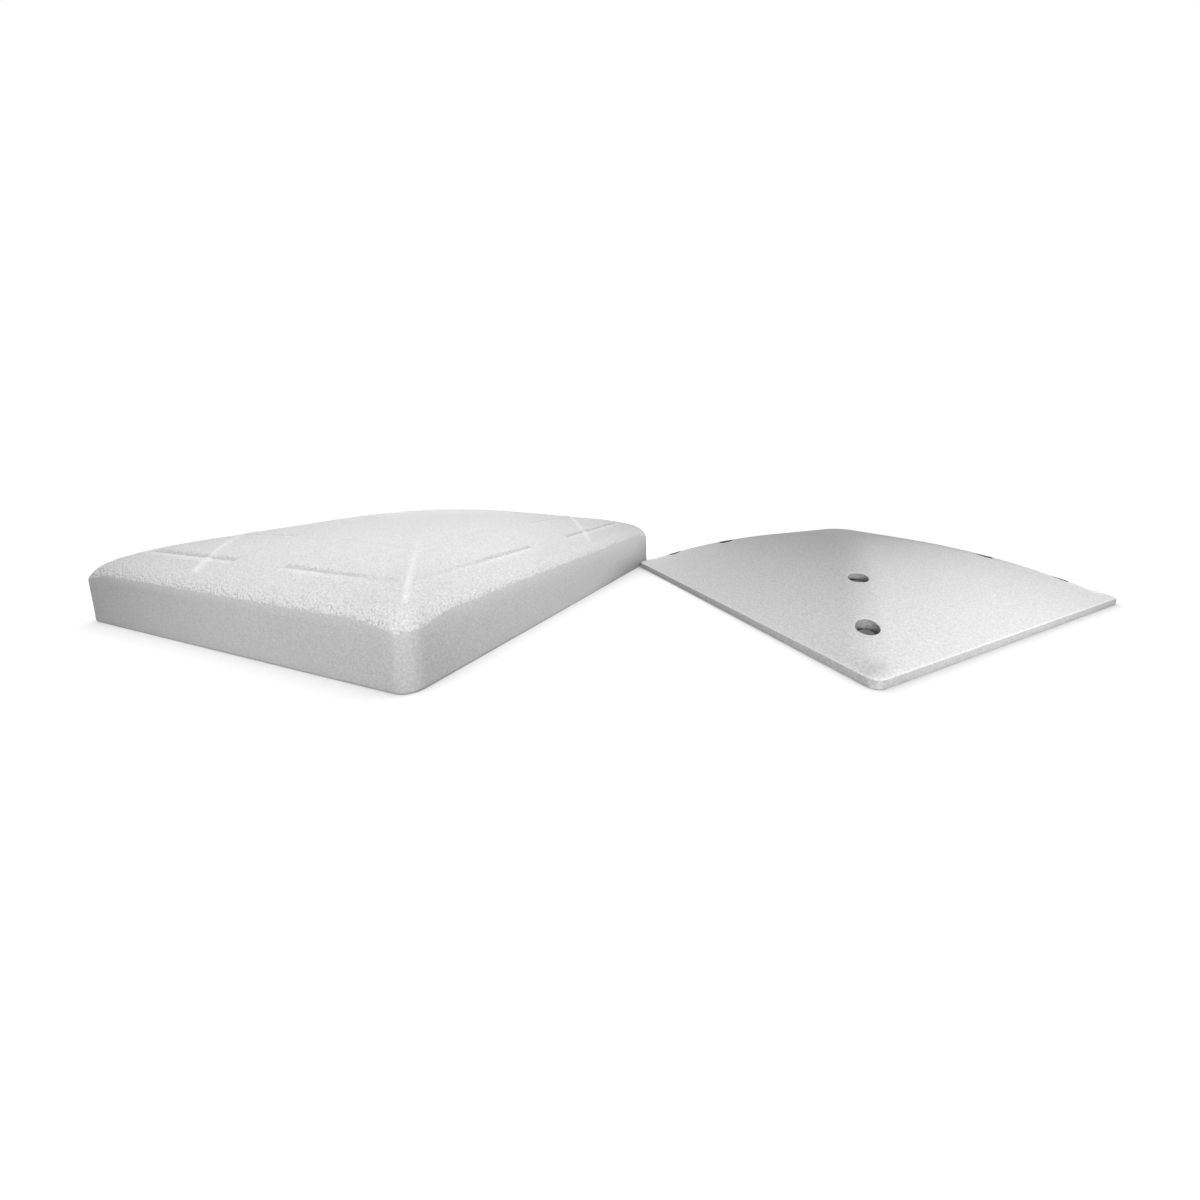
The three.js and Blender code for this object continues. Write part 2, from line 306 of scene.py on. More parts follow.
def piece(name, surface, node, turn, body, material, attributes=None, crease=40):
    """Mesh piece from a gathered surface, set where its node stands and riding on its body."""
    x, y, z = surface.points.T
    cos, sin = math.cos(turn), math.sin(turn)
    middle = place_of(node)
    placed = np.stack([middle[0] + cos * x - sin * y, middle[1] + sin * x + cos * y, z], axis=-1) * MM
    mesh = bpy.data.meshes.new(name)
    mesh.from_pydata(placed.tolist(), [], [face for part in surface.faces for face in part.tolist()])
    mesh.polygons.foreach_set("use_smooth", np.ones(len(mesh.polygons), bool))
    for key, values in (attributes or {}).items():
        mesh.attributes.new(key, "FLOAT", "POINT").data.foreach_set("value", values.astype(np.float32))
    mesh.materials.append(material)
    mesh.update()
    mesh.set_sharp_from_angle(angle=math.radians(crease))
    made = bpy.data.objects.new(name, mesh)
    bpy.context.scene.collection.objects.link(made)
    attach(made, body)
    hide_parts(node)


# Cover

def line(shape, distance):
    """Height of a tread line of that shape at a distance from it: one hump of a cosine."""
    height, reach = shape
    return height * bell(distance, reach)


def tread_relief(x, y):
    """Height of the tread over the dome, from the distances to its lines.

    Broken square grooves at two distances, each with a low lip outside; faint furrows between; a thin
    raised seam along each diagonal, and one across each corner. At two opposite corners the seams across
    and the inner grooves are worn down, and the outer grooves fade towards the corner.
    """
    a = np.maximum(np.abs(x), np.abs(y))
    b = np.minimum(np.abs(x), np.abs(y))
    fresh = x * y < 0
    kept = np.where(fresh, 1.0, WORN_INNER)
    near = smooth(*WORN_FADE, b)
    kept_outer = np.where(fresh, 1.0, WORN_OUTER_FAR + (WORN_OUTER_NEAR - WORN_OUTER_FAR) * near)
    along = smooth(TREAD_BREAK - 1, TREAD_BREAK + 1, b)
    outer = along * (1 - smooth(TREAD_OUTER - 10, TREAD_OUTER - 7, b)) * kept_outer
    inner = along * (1 - smooth(TREAD_INNER - 2, TREAD_INNER, b)) * kept
    between = smooth(TREAD_INNER - 2, TREAD_INNER, a) * (1 - smooth(TREAD_OUTER, TREAD_OUTER + 2, a))
    relief = outer * line(OUTER_LIP, a - TREAD_OUTER - OUTER_LIP_AWAY)
    relief -= outer * line(OUTER_GROOVE, a - TREAD_OUTER)
    relief += inner * line(INNER_LIP, a - TREAD_INNER - INNER_LIP_AWAY)
    relief -= inner * line(INNER_GROOVE, a - TREAD_INNER)
    relief -= between * line(BREAK_FURROW, b - TREAD_BREAK)
    relief -= between * line(SIDE_FURROW, b - TREAD_FURROW)
    relief += smooth(*DIAGONAL_RISE, a) * line(DIAGONAL_SEAM, (a - b) / math.sqrt(2))
    crossing = line(CROSS_SEAM, (a + b - TREAD_CROSS) / math.sqrt(2))
    relief += smooth(*CROSS_RISE, a) * kept ** 2 * crossing
    return relief


def cover_lines(rim_half):
    """Grid lines across the cover, closer together where the tread's lines run.

    The lines are set at equal steps of a running sum of how dense they should be.
    """
    fine = np.linspace(0, rim_half, 4000)
    at_grooves = bell(fine - TREAD_OUTER - 1, 9) + bell(fine - TREAD_INNER - 1, 8)
    at_furrows = bell(fine - TREAD_BREAK, 5) + bell(fine - TREAD_FURROW, 5)
    dense = 1.0 + 2.2 * at_grooves + 1.2 * (at_furrows + bell(fine - rim_half, 10))
    total = np.concatenate([[0], np.cumsum((dense[1:] + dense[:-1]) / 2)])
    half = np.interp(np.linspace(0, total[-1], COVER_LINES), total, fine)
    return np.concatenate([-half[:0:-1], half])


def soft_contour(x, y, square, rim_half):
    """Level line of the dome through a point: a square at the rim that turns to a circle at the crown."""
    squareness = smooth(0.15, 0.95, square / rim_half)
    circle = np.hypot(x, y)
    return circle + (square - circle) * squareness


def lip_height(u, v):
    """Height of the lip round the edge: level along a side, lower at the corners, slightly wavering."""
    share = np.minimum(np.abs(u), np.abs(v)) / np.maximum(np.abs(u), np.abs(v))
    turn = np.arctan2(v, u)
    waver = sum(high * np.sin(count * turn + start) for high, count, start in LIP_WAVES)
    return LIP_SIDE_HEIGHT - LIP_CORNER_DROP * smooth(0.8, 1.0, share) + waver


def arc_half(height):
    """Half side of the rolled edge at a height: the wall's, less what the arc has turned in."""
    rise = np.clip((height - WALL_HEIGHT) / EDGE_RADIUS, 0, 0.99)
    return COVER_HALF - EDGE_RADIUS * (1 - np.sqrt(1 - rise ** 2))


def cover_skin(material):
    """Skin of the cover, outside and inside, as one closed surface.

    The dome is a grid of rounded squares; its edge runs on in rings over the rolled edge, down the wall,
    round the foot and up the inside to a plain inner dome. The wall under the lip is straight.
    """
    sweep, rim_half, rim = rolled_edge(COVER_HALF, WALL_HEIGHT, EDGE_RADIUS, COVER_CROWN, COVER_BULGE)
    lines = cover_lines(rim_half)
    u, v = np.meshgrid(lines, lines)
    square = np.maximum(np.abs(u), np.abs(v))
    share = COVER_CORNER / COVER_HALF
    x, y = round_off(u, v, square, share * square)
    relief = tread_relief(x, y)
    level = soft_contour(x, y, square, rim_half)
    skin = Surface()
    grid = skin.put(x, y, dome(level, rim_half, rim, COVER_CROWN, COVER_BULGE) + relief).reshape(u.shape)
    skin.sheet(grid)
    edge = edge_loop(grid)
    eu, ev = u.ravel()[edge], v.ravel()[edge]
    rings = [edge]

    def ring(half, radius, height):
        rings.append(skin.put(*round_off(eu, ev, half, radius), height))

    # Rolled edge down to the lip, with the corner seams running out over it
    lip = lip_height(eu, ev)
    lip_turn = np.arcsin((lip - WALL_HEIGHT) / EDGE_RADIUS)
    seam = line(EDGE_SEAM, (np.abs(eu) - np.abs(ev)) / math.sqrt(2))
    for step in np.linspace(0, 1, EDGE_ROWS + 1)[1:]:
        turn = sweep + (lip_turn - sweep) * step
        half = COVER_HALF - EDGE_RADIUS * (1 - np.cos(turn))
        height = WALL_HEIGHT + EDGE_RADIUS * np.sin(turn)
        ring(half + seam * (1 - step), share * half, height)
    top_points = len(skin.points)
    # The lip's underside steps in to the smooth wall, more in some places than in others
    around = np.arctan2(ev, eu)
    broken = 0.55 + 0.45 * np.sin(29 * around) * np.sin(83 * around + 0.7)
    for drop, inset in LIP_ROWS:
        half = arc_half(lip - drop) - inset * broken
        ring(half, share * half, lip - drop)
    # The smooth wall flares straight from there to the foot
    wall_top, wall_top_half = lip - drop, half
    wall_half = COVER_HALF - WALL_INSET
    for step in np.linspace(0, 1, WALL_ROWS + 1)[1:]:
        half = wall_top_half + (wall_half - wall_top_half) * step
        ring(half, share * half, wall_top + (FOOT_ROUND - wall_top) * step)
    for turn in np.linspace(0, math.pi / 2, 5)[1:]:
        turned_in = FOOT_ROUND * (1 - math.cos(turn))
        ring(wall_half - turned_in, COVER_CORNER - turned_in, FOOT_ROUND * (1 - math.sin(turn)))
    # Inside: wall, rolled edge and dome
    hollow = COVER_HALF - SKIRT_WALL
    inner_corner = COVER_CORNER - SKIRT_WALL / 2
    ring(hollow + SKIRT_BEVEL, inner_corner, 0.0)
    ring(hollow, inner_corner, SKIRT_BEVEL_HEIGHT)
    ring(hollow, inner_corner, WALL_HEIGHT)
    inner_radius = EDGE_RADIUS - SKIRT_WALL
    inner_crown = COVER_CROWN - SKIN_THICKNESS
    inner_sweep, inner_half, inner_rim = rolled_edge(
        hollow, WALL_HEIGHT, inner_radius, inner_crown, COVER_BULGE
    )
    for turn in np.linspace(0, inner_sweep, 6)[1:]:
        half = hollow - inner_radius * (1 - math.cos(turn))
        ring(half, inner_corner, WALL_HEIGHT + inner_radius * math.sin(turn))
    for part in np.linspace(1, 0.04, 13)[1:]:
        half = inner_half * part
        ix, iy = round_off(eu, ev, half, inner_corner * part)
        level = soft_contour(ix, iy, half, inner_half)
        rings.append(skin.put(ix, iy, dome(level, inner_half, inner_rim, inner_crown, COVER_BULGE)))
    skin.strip(rings, flip=True)
    skin.cap(rings[-1], skin.put(0, 0, inner_crown), flip=True)

    # Grain deepens towards the lip and fades on the seams; painted shade darkens the grooves and the rolled
    # edge towards the lip
    tread = np.zeros(len(skin.points))
    tread[:top_points] = 1 + EDGE_GRAIN
    tread[:relief.size] = (1 + EDGE_GRAIN * smooth(0.75, 1.0, square / rim_half)
                           - 0.8 * smooth(0.2, 0.8, relief)).ravel()
    # Painted shade between the pebbles, deeper in the grooves and towards the lip
    dirt = np.zeros(len(skin.points))
    dirt[:relief.size] = (PEBBLE_GAP_SHADE + GROOVE_SHADE * smooth(0.1, 1.0, -relief)).ravel()
    towards_lip = PEBBLE_GAP_SHADE + LIP_SHADE * np.linspace(0, 1, EDGE_ROWS) ** 4
    dirt[relief.size:top_points] = np.repeat(towards_lip, len(edge))
    heights = np.zeros(len(skin.points))
    heights[:relief.size] = relief.ravel()
    piece("cover_skin", skin, "cover_shell", COVER_TURN, "cover_body", material,
          {"tread": tread, "relief": heights, "dirt": dirt}, crease=50)


# Domed sheets with holes

def ridge_contour(x, y, radius):
    """Half side of the rounded square, with that corner radius, on which a point lies."""
    a, b = np.abs(x), np.abs(y)
    gap = np.clip(np.abs(a - b), 0, radius)
    corner = (a + b - np.sqrt(2 * radius ** 2 - gap ** 2)) / 2 + radius
    return np.where(np.abs(a - b) < radius, np.maximum(corner, 0), np.maximum(a, b))


def on_diagonals(out):
    """The four places in plan at a distance from both centre lines."""
    return [(out * sx, out * sy) for sx, sy in ((1, 1), (-1, 1), (-1, -1), (1, -1))]


def plug_holes(block, bore_rows, through=True):
    """The eight holes for plugs, as pierced_dome takes them; bore_rows gives the rows for each distance."""
    return [(hx, hy, block, bore_rows(out), through)
            for out in (PLUG_INNER, PLUG_OUTER) for hx, hy in on_diagonals(out)]


def pierced_dome(half, corner, stations, top, under, edge_rows, holes):
    """Domed square sheet with holes, or pockets from below, as one closed surface.

    Top and underside are height fields over one grid of squares, rounded off at its edge. A hole is given
    by its middle, the half side of the square of cells that gives way to it, its rows of (radius, height),
    and whether it goes through. Rings lead from that square to the circle of the first row, along the
    rows, and out again below, or to a cap in a pocket.
    """
    lines = square_lines(stations)
    u, v = np.meshgrid(lines, lines)
    square = np.maximum(np.abs(u), np.abs(v))
    to_edge = smooth(0.92, 1.0, square / half)
    rx, ry = round_off(u, v, square, corner)
    x, y = u + (rx - u) * to_edge, v + (ry - v) * to_edge
    inside = ridge_contour(x, y, RIDGE_RADIUS)
    level = inside + (square - inside) * to_edge
    made = Surface()
    above = made.put(x, y, top(level, x, y)).reshape(u.shape)
    below = made.put(x, y, under(level, x, y)).reshape(u.shape)
    cell_u, cell_v = (u[:-1, :-1] + u[1:, 1:]) / 2, (v[:-1, :-1] + v[1:, 1:]) / 2
    open_above = np.zeros(cell_u.shape, bool)
    open_below = np.zeros(cell_u.shape, bool)
    for hx, hy, block, _, through in holes:
        cells = (np.abs(cell_u - hx) < block) & (np.abs(cell_v - hy) < block)
        open_below |= cells
        open_above |= cells & through
    made.sheet(above, open_above)
    made.sheet(below, open_below, flip=True)

    edge = edge_loop(above)
    eu, ev = u.ravel()[edge], v.ravel()[edge]
    rings = [edge]
    for inset, height in edge_rows:
        rings.append(made.put(*round_off(eu, ev, half - inset, corner), height))
    rings.append(edge_loop(below))
    made.strip(rings, flip=True)

    for hx, hy, block, profile, through in holes:
        rows = np.flatnonzero(np.abs(lines - hy) < block + 0.01)
        columns = np.flatnonzero(np.abs(lines - hx) < block + 0.01)
        around = np.ix_(rows, columns)
        loop, end = edge_loop(above[around]), edge_loop(below[around])
        start = loop if through else end
        bx, by = made.points[loop, 0] - hx, made.points[loop, 1] - hy
        cx, cy = bx / np.hypot(bx, by), by / np.hypot(bx, by)
        rings = [start]
        first, height = profile[0]
        for part in (0.4, 0.75):
            px, py = hx + bx + (first * cx - bx) * part, hy + by + (first * cy - by) * part
            rings.append(made.put(px, py, height(px, py)))
        for radius, height in profile:
            px, py = hx + radius * cx, hy + radius * cy
            rings.append(made.put(px, py, height(px, py)))
        if through:
            last, height = profile[-1]
            px, py = hx + (bx + last * cx) / 2, hy + (by + last * cy) / 2
            rings += [made.put(px, py, height(px, py)), end]
        else:
            made.cap(rings[-1], made.put(hx, hy, profile[-1][1](hx, hy)), flip=True)
        made.strip(rings, flip=not through)
    return made


def ground_plate(material):
    """Thin domed plate: a low edge, a foot band, and round-edged holes for the plugs.

    Under the crown is a flat pad with a blind bore for each insert.
    """
    under_half = PLATE_HALF - PLATE_FOOT
    under_crown = PLATE_CROWN - PLATE_THICKNESS

    def top(level, x, y):
        return dome(level, PLATE_HALF, PLATE_EDGE, PLATE_CROWN, PLATE_BULGE)

    def under(level, x, y):
        sheet = dome(level, under_half, 0.0, under_crown, PLATE_BULGE)
        pad = np.maximum(np.abs(x), np.abs(y)) < PAD_HALF
        return np.where(pad, np.minimum(sheet, PAD_FLOOR), sheet)

    def bore_rows(out):
        rows = []
        for turn in np.linspace(0, math.pi / 2, 5):
            drop = HOLE_ROUND * (1 - math.cos(turn))
            rows.append((HOLE_RADIUS + HOLE_ROUND * (1 - math.sin(turn)), lambda x, y, drop=drop: top(
                ridge_contour(x, y, RIDGE_RADIUS), x, y) - drop))
        for turn in np.linspace(math.pi / 2, 0, 4):
            rise = HOLE_ROUND * (1 - math.cos(turn))
            rows.append((HOLE_RADIUS + HOLE_ROUND * (1 - math.sin(turn)), lambda x, y, rise=rise: under(
                ridge_contour(x, y, RIDGE_RADIUS), x, y) + rise))
        return rows

    insert_rows = [(INSERT_BORE, lambda x, y: np.full(np.shape(x), PAD_FLOOR)),
                   (INSERT_BORE, lambda x, y: np.full(np.shape(x), INSERT_BORE_TOP))]
    holes = plug_holes(HOLE_BLOCK, bore_rows)
    holes += [(hx, hy, INSERT_BLOCK, insert_rows, False) for hx, hy in on_diagonals(INSERT_SPREAD)]
    stations = (
        (INSERT_SPREAD - INSERT_BLOCK, 7), (INSERT_SPREAD + INSERT_BLOCK, 6), (PAD_HALF - 0.5, 2),
        (PAD_HALF + 0.5, 2), (PLUG_INNER - HOLE_BLOCK, 16), (PLUG_INNER + HOLE_BLOCK, 12),
        (PLUG_OUTER - HOLE_BLOCK, 8), (PLUG_OUTER + HOLE_BLOCK, 12), (under_half - 1, 9),
        (under_half + 1, 3), (PLATE_HALF - 0.5, 4), (PLATE_HALF, 1),
    )
    edge_rows = ((0.0, PLATE_EDGE - 0.3), (0.0, PLATE_EDGE / 2), (0.0, 0.4))
    sheet = pierced_dome(PLATE_HALF, PLATE_CORNER, stations, top, under, edge_rows, holes)
    x, y, z = sheet.points.T
    reach = ridge_contour(x, y, PLATE_CORNER)
    outer = reach > PLATE_HALF - 0.01
    sheet.points[outer & (z > PLATE_EDGE - 0.01), :2] *= 1 - PLATE_TOP_CHAMFER / PLATE_HALF
    sheet.points[outer & (z < 0.01), :2] *= 1 - PLATE_FOOT_CHAMFER / PLATE_HALF
    # Painted shade: the plate's outer edge face and the walls of the plug holes are greyed
    wear = np.where(outer & (z < PLATE_EDGE - 0.01), EDGE_SHADE, 0.0)
    for hx, hy in on_diagonals(PLUG_INNER) + on_diagonals(PLUG_OUTER):
        wear[np.hypot(x - hx, y - hy) < HOLE_RADIUS + 0.3] = 1.0
    piece("plate_sheet", sheet, "ground_plate", PLATE_TURN, "ground_plate_body", material,
          {"wear": wear})


def plug_carrier(material):
    """Domed liner that the plugs stand in: a flat round boss on top at each hole, and a plain bore."""
    def top(level, x, y):
        return dome(level, CARRIER_HALF, CARRIER_EDGE_TOP, CARRIER_CROWN_TOP, PLATE_BULGE)

    def under(level, x, y):
        return dome(level, CARRIER_HALF, CARRIER_EDGE, CARRIER_CROWN, PLATE_BULGE)

    def bore_rows(out):
        seat = PLUG_TOPS[out] - PLUG_HEAD - SEAT_GAP
        return [
            (BOSS_RADIUS, lambda x, y: top(ridge_contour(x, y, RIDGE_RADIUS), x, y)),
            (BOSS_RADIUS, lambda x, y: np.full(np.shape(x), seat - BOSS_CHAMFER)),
            (BOSS_RADIUS - BOSS_CHAMFER, lambda x, y: np.full(np.shape(x), seat)),
            (CARRIER_BORE, lambda x, y: np.full(np.shape(x), seat)),
            (CARRIER_BORE, lambda x, y: under(ridge_contour(x, y, RIDGE_RADIUS), x, y) + BORE_CHAMFER),
            (CARRIER_BORE + BORE_CHAMFER, lambda x, y: under(ridge_contour(x, y, RIDGE_RADIUS), x, y)),
        ]

    stations = (
        (PLUG_INNER - POCKET_BLOCK, 20), (PLUG_INNER + POCKET_BLOCK, 10), (PLUG_OUTER - POCKET_BLOCK, 4),
        (PLUG_OUTER + POCKET_BLOCK, 10), (CARRIER_HALF, 8),
    )
    sheet = pierced_dome(CARRIER_HALF, COVER_CORNER - SKIRT_WALL / 2 - SEAT_GAP, stations, top, under, (),
                         plug_holes(POCKET_BLOCK, bore_rows))
    piece("plug_liner", sheet, "plug_carrier", COVER_TURN, "cover_body", material)


def impact_foam(material):
    """Foam between the skin and the liner: the skin's inner shape above, the liner's below, and a round
    pocket over each plug's head.
    """
    hollow = COVER_HALF - SKIRT_WALL
    inner_radius = EDGE_RADIUS - SKIRT_WALL
    crown = COVER_CROWN - SKIN_THICKNESS - SEAT_GAP
    sweep, inner_half, inner_rim = rolled_edge(hollow, WALL_HEIGHT, inner_radius, crown, COVER_BULGE)

    def top(level, x, y):
        turned_in = np.clip((hollow - SEAT_GAP - level) / inner_radius, 0, 1)
        arc = WALL_HEIGHT + inner_radius * np.sqrt(1 - (1 - turned_in) ** 2) - SEAT_GAP
        square = ridge_contour(x, y, COVER_CORNER)
        soft = soft_contour(x, y, np.minimum(square, inner_half), inner_half)
        low = inner_rim - SEAT_GAP
        return np.where(level > inner_half, arc, dome(soft, inner_half, low, crown, COVER_BULGE))

    def under(level, x, y):
        low = CARRIER_EDGE_TOP + SEAT_GAP
        return dome(level, CARRIER_HALF, low, CARRIER_CROWN_TOP + SEAT_GAP, PLATE_BULGE)

    def bore_rows(out):
        roof = PLUG_TOPS[out] + SEAT_GAP
        return [
            (BOSS_RADIUS + SEAT_GAP, lambda x, y: under(ridge_contour(x, y, RIDGE_RADIUS), x, y)),
            (BOSS_RADIUS + SEAT_GAP, lambda x, y: np.full(np.shape(x), roof)),
            (BOSS_RADIUS / 2, lambda x, y: np.full(np.shape(x), roof)),
        ]

    stations = (
        (PLUG_INNER - POCKET_BLOCK, 12), (PLUG_INNER + POCKET_BLOCK, 8), (PLUG_OUTER - POCKET_BLOCK, 3),
        (PLUG_OUTER + POCKET_BLOCK, 8), (CARRIER_HALF, 10),
    )
    block = pierced_dome(CARRIER_HALF, COVER_CORNER - SKIRT_WALL / 2 - SEAT_GAP, stations, top, under, (),
                         plug_holes(POCKET_BLOCK, bore_rows, through=False))
    piece("foam_filling", block, "impact_foam", COVER_TURN, "cover_body", material)


# Plugs

def release_plug(node, material):
    """Snap plug turned about its own upright axis: head, stem, bulb and a rounded tip.

    Each ring is a circle; the profile lists radii and heights from the tip up, between the node's lowest
    and highest points.
    """
    low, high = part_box(node)
    tip, top = low.z / MM, high.z / MM
    neck = top - PLUG_HEAD
    profile = (
        (1.5, tip + 0.1), (3.4, tip + 0.5), (5.4, tip + 1.6), (7.2, tip + 3.6), (8.6, tip + 5.6),
        (9.2, tip + 6.9), (9.1, tip + 7.6), (8.5, tip + 8.4), (7.8, tip + 9.0), (7.5, tip + 9.8),
        (7.5, tip + 16), (7.5, neck - 0.4), (7.9, neck), (12.4, neck), (13.0, neck + 0.6),
        (13.0, top - 1.2), (12.4, top - 0.4), (11.2, top), (4.0, top),
    )
    turn = np.linspace(0, 2 * np.pi, 49)[:-1]
    plug = Surface()
    rings = [plug.put(r * np.cos(turn), r * np.sin(turn), h) for r, h in profile]
    plug.strip(rings)
    plug.cap(rings[0], plug.put(0, 0, tip), flip=True)
    plug.cap(rings[-1], plug.put(0, 0, top))
    name = node.replace("release_plug", "snap_plug")
    piece(name, plug, node, 0.0, "cover_body", material)


# Materials

def add(tree, kind, inputs=None, stops=(), **settings):
    """Node of a kind, with its settings, and its inputs set to values or linked to (node, output).

    The stops of a colour ramp are (position, hex code), from the lowest up.
    """
    made = tree.nodes.new(kind)
    for key, value in settings.items():
        setattr(made, key, value)
    for i, (position, code) in enumerate(stops):
        ramp = made.color_ramp.elements
        stop = ramp[i] if i < len(ramp) else ramp.new(position)
        stop.position = position
        stop.color = linear(code)
    for key, value in (inputs or {}).items():
        if isinstance(value, tuple) and isinstance(value[0], bpy.types.Node):
            tree.links.new(value[0].outputs[value[1]], made.inputs[key])
        else:
            made.inputs[key].default_value = value
    return made


def new_material(name):
    """Empty node material; the caller adds the shader and links it to the output."""
    made = bpy.data.materials.new(name)
    made.use_nodes = True
    made.node_tree.nodes.clear()
    return made, made.node_tree


def per_metre(size):
    """Texture scale at which one cell is as wide as a size in millimetres."""
    return 1000 / size


def moulded_white_rubber():
    """Natural white rubber from a mould: pebbled grain on top, plain matt walls with a fine bloom.

    Painted shade darkens the gaps between the pebbles, most of all in the grooves and along the lip; painted
    highlight lightens the raised seams and painted shade darkens the grooves.
    """
    made, tree = new_material("moulded_white_rubber")
    place = add(tree, "ShaderNodeTexCoord")
    tread = add(tree, "ShaderNodeAttribute", attribute_name="tread")
    relief = add(tree, "ShaderNodeAttribute", attribute_name="relief")
    dirt = add(tree, "ShaderNodeAttribute", attribute_name="dirt")
    pebble = add(tree, "ShaderNodeTexVoronoi", {"Vector": (place, "Object"), "Scale": per_metre(1.6)})
    rough = add(tree, "ShaderNodeTexNoise", {"Vector": (place, "Object"), "Scale": per_metre(3.0),
                                             "Detail": 3.0})
    bloom = add(tree, "ShaderNodeTexNoise", {"Vector": (place, "Object"), "Scale": per_metre(1.3),
                                             "Detail": 2.0})
    # A pebble is highest in the middle of its cell
    round_top = add(tree, "ShaderNodeMath", {0: (pebble, "Distance"), 1: 2.0}, operation="POWER")
    grain = add(tree, "ShaderNodeMath", {0: (rough, "Fac"), 1: (round_top, "Value")}, operation="SUBTRACT")
    top_height = add(tree, "ShaderNodeMath", {0: (grain, "Value"), 1: (tread, "Fac")},
                     operation="MULTIPLY")
    height = add(tree, "ShaderNodeMath", {0: (bloom, "Fac"), 1: 0.3, 2: (top_height, "Value")},
                 operation="MULTIPLY_ADD")
    bump = add(tree, "ShaderNodeBump", {"Height": (height, "Value"), "Strength": 0.8, "Distance": 0.001})
    speck = add(tree, "ShaderNodeValToRGB", {"Fac": (bloom, "Fac")},
                stops=((0.3, "#D3D3D3"), (0.7, "#ECECEC")))
    # Painted shade: the smooth wall is given a darker colour than the grained top
    wall_shaded = add(tree, "ShaderNodeValToRGB", {"Fac": (bloom, "Fac")},
               stops=((0.3, "#BCBCBC"), (0.7, "#D2D2D2")))
    on_top = add(tree, "ShaderNodeMapRange", {"Value": (tread, "Fac"), "From Max": 0.2})
    ground = add(tree, "ShaderNodeMix", {0: (on_top, "Result"), 6: (wall_shaded, "Color"), 7: (speck, "Color")},
                 data_type="RGBA")
    # Painted highlight and shade: raised seams are lightened and grooves darkened by their height
    depth = add(tree, "ShaderNodeMapRange", {"Value": (relief, "Fac"), "From Min": -2.0, "From Max": 2.0})
    painted_shading = add(tree, "ShaderNodeValToRGB", {"Fac": (depth, "Result")},
               stops=((0.15, "#E2E2E2"), (0.5, "#F4F4F4"), (0.75, "#FFFFFF")))
    shade = add(tree, "ShaderNodeMix", {0: 1.0, 6: (ground, 2), 7: (painted_shading, "Color")},
                data_type="RGBA", blend_type="MULTIPLY")
    # Painted shade: the borders of the pebble cells are darkened, most in the grooves and along the lip
    crevice = add(tree, "ShaderNodeValToRGB", {"Fac": (pebble, "Distance")},
                  stops=((0.4, "#FFFFFF"), (0.75, "#8C8C8C")))
    crevice_shaded = add(tree, "ShaderNodeMix", {0: (dirt, "Fac"), 6: (shade, 2), 7: (crevice, "Color")},
                 data_type="RGBA", blend_type="MULTIPLY")
    shader = add(tree, "ShaderNodeBsdfPrincipled", {
        "Base Color": (crevice_shaded, 2), "Roughness": 0.8, "IOR": 1.45, "Specular IOR Level": 0.3,
        "Normal": (bump, "Normal"),
    })
    add(tree, "ShaderNodeOutputMaterial", {"Surface": (shader, "BSDF")})
    return made


def moulded_polymer():
    """Filled nylon from a mould: satin, off-white, with a fine even speckle.

    The walls of the plug holes are painted grey as shade, and the edge face round the plate is painted darker
    as shade.
    """
    made, tree = new_material("moulded_polymer")
    place = add(tree, "ShaderNodeTexCoord")
    # The real speckle is finer; it is drawn at 1.6 mm so that it shows
    fleck = add(tree, "ShaderNodeTexNoise", {"Vector": (place, "Object"), "Scale": per_metre(1.6),
                                             "Detail": 3.0})
    colour = add(tree, "ShaderNodeValToRGB", {"Fac": (fleck, "Fac")},
                 stops=((0.3, "#D5D5D5"), (0.7, "#EFEFEF")))
    # Painted shade: grey for the hole walls and the edge face
    shade_grey = add(tree, "ShaderNodeValToRGB", {"Fac": (fleck, "Fac")},
                 stops=((0.35, "#6E6E6E"), (0.65, "#8C8C8C")))
    wear = add(tree, "ShaderNodeAttribute", attribute_name="wear")
    painted_shading = add(tree, "ShaderNodeMix", {0: (wear, "Fac"), 6: (colour, "Color"), 7: (shade_grey, "Color")},
               data_type="RGBA")
    bump = add(tree, "ShaderNodeBump", {"Height": (fleck, "Fac"), "Strength": 0.2, "Distance": 0.0004})
    shader = add(tree, "ShaderNodeBsdfPrincipled", {
        "Base Color": (painted_shading, 2), "Roughness": 0.6, "IOR": 1.45, "Specular IOR Level": 0.3,
        "Normal": (bump, "Normal"),
    })
    add(tree, "ShaderNodeOutputMaterial", {"Surface": (shader, "BSDF")})
    return made


def flecked(name, dark, light, size, roughness, metallic=0.0):
    """Plain finish whose colour wavers between two shades in patches of a size in millimetres."""
    made, tree = new_material(name)
    place = add(tree, "ShaderNodeTexCoord")
    patch = add(tree, "ShaderNodeTexNoise", {"Vector": (place, "Object"), "Scale": per_metre(size),
                                             "Detail": 3.0})
    colour = add(tree, "ShaderNodeValToRGB", {"Fac": (patch, "Fac")}, stops=((0.35, dark), (0.65, light)))
    bump = add(tree, "ShaderNodeBump", {"Height": (patch, "Fac"), "Strength": 0.15, "Distance": 0.0003})
    shader = add(tree, "ShaderNodeBsdfPrincipled", {
        "Base Color": (colour, "Color"), "Roughness": roughness, "Metallic": metallic,
        "Normal": (bump, "Normal"),
    })
    add(tree, "ShaderNodeOutputMaterial", {"Surface": (shader, "BSDF")})
    return made


def finish_nodes(finish, *nodes):
    """Gives carried-over nodes a finish."""
    for name in nodes:
        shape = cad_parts[name].data
        shape.materials.clear()
        shape.materials.append(finish)


# Stage

